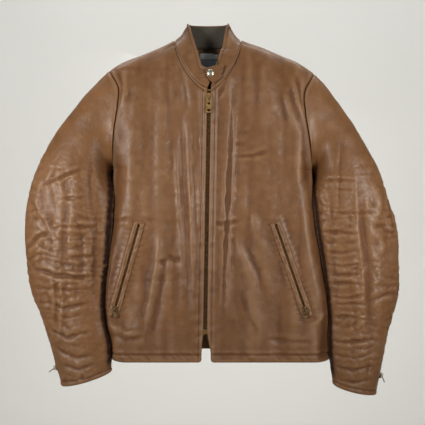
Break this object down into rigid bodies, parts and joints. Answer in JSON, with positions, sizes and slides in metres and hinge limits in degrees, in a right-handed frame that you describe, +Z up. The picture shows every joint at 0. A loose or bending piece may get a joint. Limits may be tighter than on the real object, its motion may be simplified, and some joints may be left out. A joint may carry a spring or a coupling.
{
  "type": "leather riding jacket",
  "caption": "Hip-length leather riding jacket with a band collar, snap tab, full front zip, slanted zip pockets and zipped cuffs, hanging closed.",
  "frame": {"origin": "between the shoulders at the height where the neck meets the shoulder seams, which is where a hanger carries the jacket", "axes": "+Z up, +Y towards the back, so the front with its zip faces -Y; the wearer's right side is at -X and the wearer's left side at +X"},
  "size_m": [0.7633, 0.1219, 0.7585],
  "materials": {
    "leather": "tan-brown cowhide, worn semi-gloss, visible grain",
    "lining": "dark olive woven lining, matt",
    "zip_tape": "dark brown woven zip tape, matt",
    "brass": "antique brass, rubbed bright on the edges",
    "snap_metal": "polished pale brass with a domed face",
    "label_cloth": "blank woven label, pale grey"
  },
  "bodies": {
    "torso": {"right_front": "leather", "left_front": "leather", "back": "leather", "right_front_lining": "lining", "left_front_lining": "lining", "back_lining": "lining", "right_hem_facing": "leather", "left_hem_facing": "leather", "back_hem_facing": "leather", "right_front_facing": "leather", "left_front_facing": "leather", "collar_band": "leather", "collar_lining": "lining", "snap_stud": "snap_metal", "neck_label": "label_cloth", "right_zip_tape": "zip_tape", "left_zip_tape": "zip_tape", "right_tooth_row": "brass", "left_tooth_row": "brass", "right_top_stop": "brass", "left_top_stop": "brass", "retainer_box": "brass", "insertion_pin": "brass", "right_pocket_front_welt": "leather", "right_pocket_rear_welt": "leather", "right_pocket_zip_tape": "zip_tape", "right_pocket_bag": "lining", "right_top_sleeve_upper": "leather", "right_under_sleeve_upper": "leather", "right_sleeve_lining_upper": "lining", "left_pocket_front_welt": "leather", "left_pocket_rear_welt": "leather", "left_pocket_zip_tape": "zip_tape", "left_pocket_bag": "lining", "left_top_sleeve_upper": "leather", "left_under_sleeve_upper": "leather", "left_sleeve_lining_upper": "lining"},
    "front_slider": {"front_slider": "brass"},
    "front_puller": {"front_puller": "brass"},
    "collar_tab": {"collar_tab": "leather", "snap_cap": "snap_metal", "snap_socket": "snap_metal"},
    "right_pocket_slider": {"right_pocket_slider": "brass"},
    "right_pocket_puller": {"right_pocket_puller": "brass"},
    "right_forearm": {"right_top_sleeve_forearm": "leather", "right_under_sleeve_forearm": "leather", "right_sleeve_lining_forearm": "lining", "right_cuff_zip_tape": "zip_tape"},
    "right_cuff_slider": {"right_cuff_slider": "brass"},
    "right_cuff_puller": {"right_cuff_puller": "brass"},
    "left_pocket_slider": {"left_pocket_slider": "brass"},
    "left_pocket_puller": {"left_pocket_puller": "brass"},
    "left_forearm": {"left_top_sleeve_forearm": "leather", "left_under_sleeve_forearm": "leather", "left_sleeve_lining_forearm": "lining", "left_cuff_zip_tape": "zip_tape"},
    "left_cuff_slider": {"left_cuff_slider": "brass"},
    "left_cuff_puller": {"left_cuff_puller": "brass"}
  },
  "joints": [
    {"name": "front_zip_slide", "type": "slide", "parent": "torso", "child": "front_slider", "axis": [-0.0168, -0.0221, -0.9996], "range_m": [-0.004, 0.452]},
    {"name": "front_puller_hinge", "type": "hinge", "parent": "front_slider", "child": "front_puller", "pos_m": [0.0023, -0.05076, -0.1179], "axis": [-0.9999, 0, 0.0168], "range_deg": [0, 168]},
    {"name": "right_pocket_zip_slide", "type": "slide", "parent": "torso", "child": "right_pocket_slider", "axis": [0.2733, -0.009, 0.9619], "range_m": [-0.004, 0.165]},
    {"name": "right_pocket_puller_hinge", "type": "hinge", "parent": "right_pocket_slider", "child": "right_pocket_puller", "pos_m": [-0.1851, -0.05645, -0.54163], "axis": [-1, 0.0024, 0], "range_deg": [0, 168]},
    {"name": "left_pocket_zip_slide", "type": "slide", "parent": "torso", "child": "left_pocket_slider", "axis": [-0.3267, 0.0209, 0.9449], "range_m": [-0.004, 0.168]},
    {"name": "left_pocket_puller_hinge", "type": "hinge", "parent": "left_pocket_slider", "child": "left_pocket_puller", "pos_m": [0.19338, -0.06175, -0.54167], "axis": [-1, 0.0068, 0], "range_deg": [0, 168]},
    {"name": "right_elbow_bend", "type": "hinge", "parent": "torso", "child": "right_forearm", "pos_m": [-0.285, -0.063, -0.385], "axis": [-1, 0, 0], "range_deg": [0, 70]},
    {"name": "left_elbow_bend", "type": "hinge", "parent": "torso", "child": "left_forearm", "pos_m": [0.304, -0.063, -0.385], "axis": [-1, 0, 0], "range_deg": [0, 70]},
    {"name": "right_cuff_zip_slide", "type": "slide", "parent": "right_forearm", "child": "right_cuff_slider", "axis": [-0.2622, 0.0249, 0.9647], "range_m": [-0.025, 0.031]},
    {"name": "right_cuff_puller_hinge", "type": "hinge", "parent": "right_cuff_slider", "child": "right_cuff_puller", "pos_m": [-0.3112, -0.01513, -0.66529], "axis": [-0.007, 1, 0], "range_deg": [-74, 95]},
    {"name": "left_cuff_zip_slide", "type": "slide", "parent": "left_forearm", "child": "left_cuff_slider", "axis": [0.206, 0.0242, 0.9782], "range_m": [-0.025, 0.033]},
    {"name": "left_cuff_puller_hinge", "type": "hinge", "parent": "left_cuff_slider", "child": "left_cuff_puller", "pos_m": [0.35323, -0.01515, -0.68109], "axis": [-0.0052, -1, 0], "range_deg": [-43, 130]},
    {"name": "collar_tab_fold", "type": "hinge", "parent": "torso", "child": "collar_tab", "pos_m": [0.0302, -0.04763, -0.06638], "axis": [0.2232, 0.1206, 0.9673], "range_deg": [0, 120]}
  ]
}
